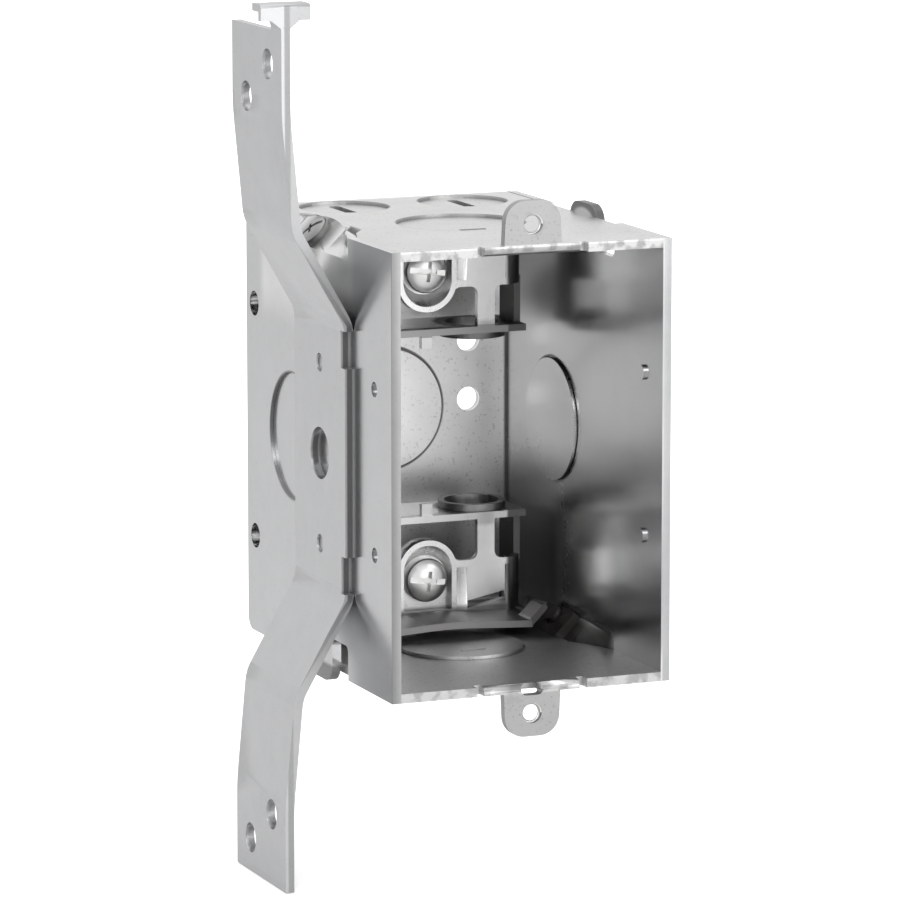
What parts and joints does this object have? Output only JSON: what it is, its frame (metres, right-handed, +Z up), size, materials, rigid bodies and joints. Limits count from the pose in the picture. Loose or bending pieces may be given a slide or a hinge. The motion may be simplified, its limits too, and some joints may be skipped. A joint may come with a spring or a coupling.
{
  "type": "switch box",
  "caption": "Gangable pressed-steel switch box with knockouts, device ears, armoured-cable clamps and a bowed stud bracket on its left side.",
  "frame": {"origin": "middle of the front opening, in the plane of the device ears' front faces, midway between the two device holes", "axes": "+X to the right seen from the front, +Y into the wall, +Z up"},
  "size_m": [0.0684, 0.0714, 0.1517],
  "materials": {
    "box_steel": "galvanised, satin",
    "plate_steel": "galvanised, satin",
    "bracket_steel": "galvanised, satin",
    "clamp_steel": "galvanised, satin",
    "screw_steel": "galvanised, satin"
  },
  "bodies": {
    "box": {"box_body": "box_steel", "left_side_plate": "plate_steel", "right_side_plate": "plate_steel", "stud_bracket": "bracket_steel", "left_plate_screw": "screw_steel", "right_plate_screw": "screw_steel"},
    "upper_clamp": {"upper_cable_clamp": "clamp_steel"},
    "upper_screw": {"upper_clamp_screw": "screw_steel"},
    "lower_clamp": {"lower_cable_clamp": "clamp_steel"},
    "lower_screw": {"lower_clamp_screw": "screw_steel"}
  },
  "joints": [
    {"name": "upper_clamp_slide", "type": "slide", "parent": "box", "child": "upper_clamp", "axis": [0, 1, 0], "range_m": [0, 0.006]},
    {"name": "upper_screw_turn", "type": "hinge", "parent": "upper_clamp", "child": "upper_screw", "pos_m": [0, 0.049, 0.0275], "axis": [0, 1, 0], "range_deg": [0, 2720]},
    {"name": "lower_clamp_slide", "type": "slide", "parent": "box", "child": "lower_clamp", "axis": [0, 1, 0], "range_m": [0, 0.006]},
    {"name": "lower_screw_turn", "type": "hinge", "parent": "lower_clamp", "child": "lower_screw", "pos_m": [0, 0.049, -0.0275], "axis": [0, 1, 0], "range_deg": [0, 2720]}
  ],
  "couplings": [
    {"joint": "upper_screw_turn", "follows": "upper_clamp_slide", "rad_per_m": 7915.8},
    {"joint": "lower_screw_turn", "follows": "lower_clamp_slide", "rad_per_m": 7915.8}
  ]
}
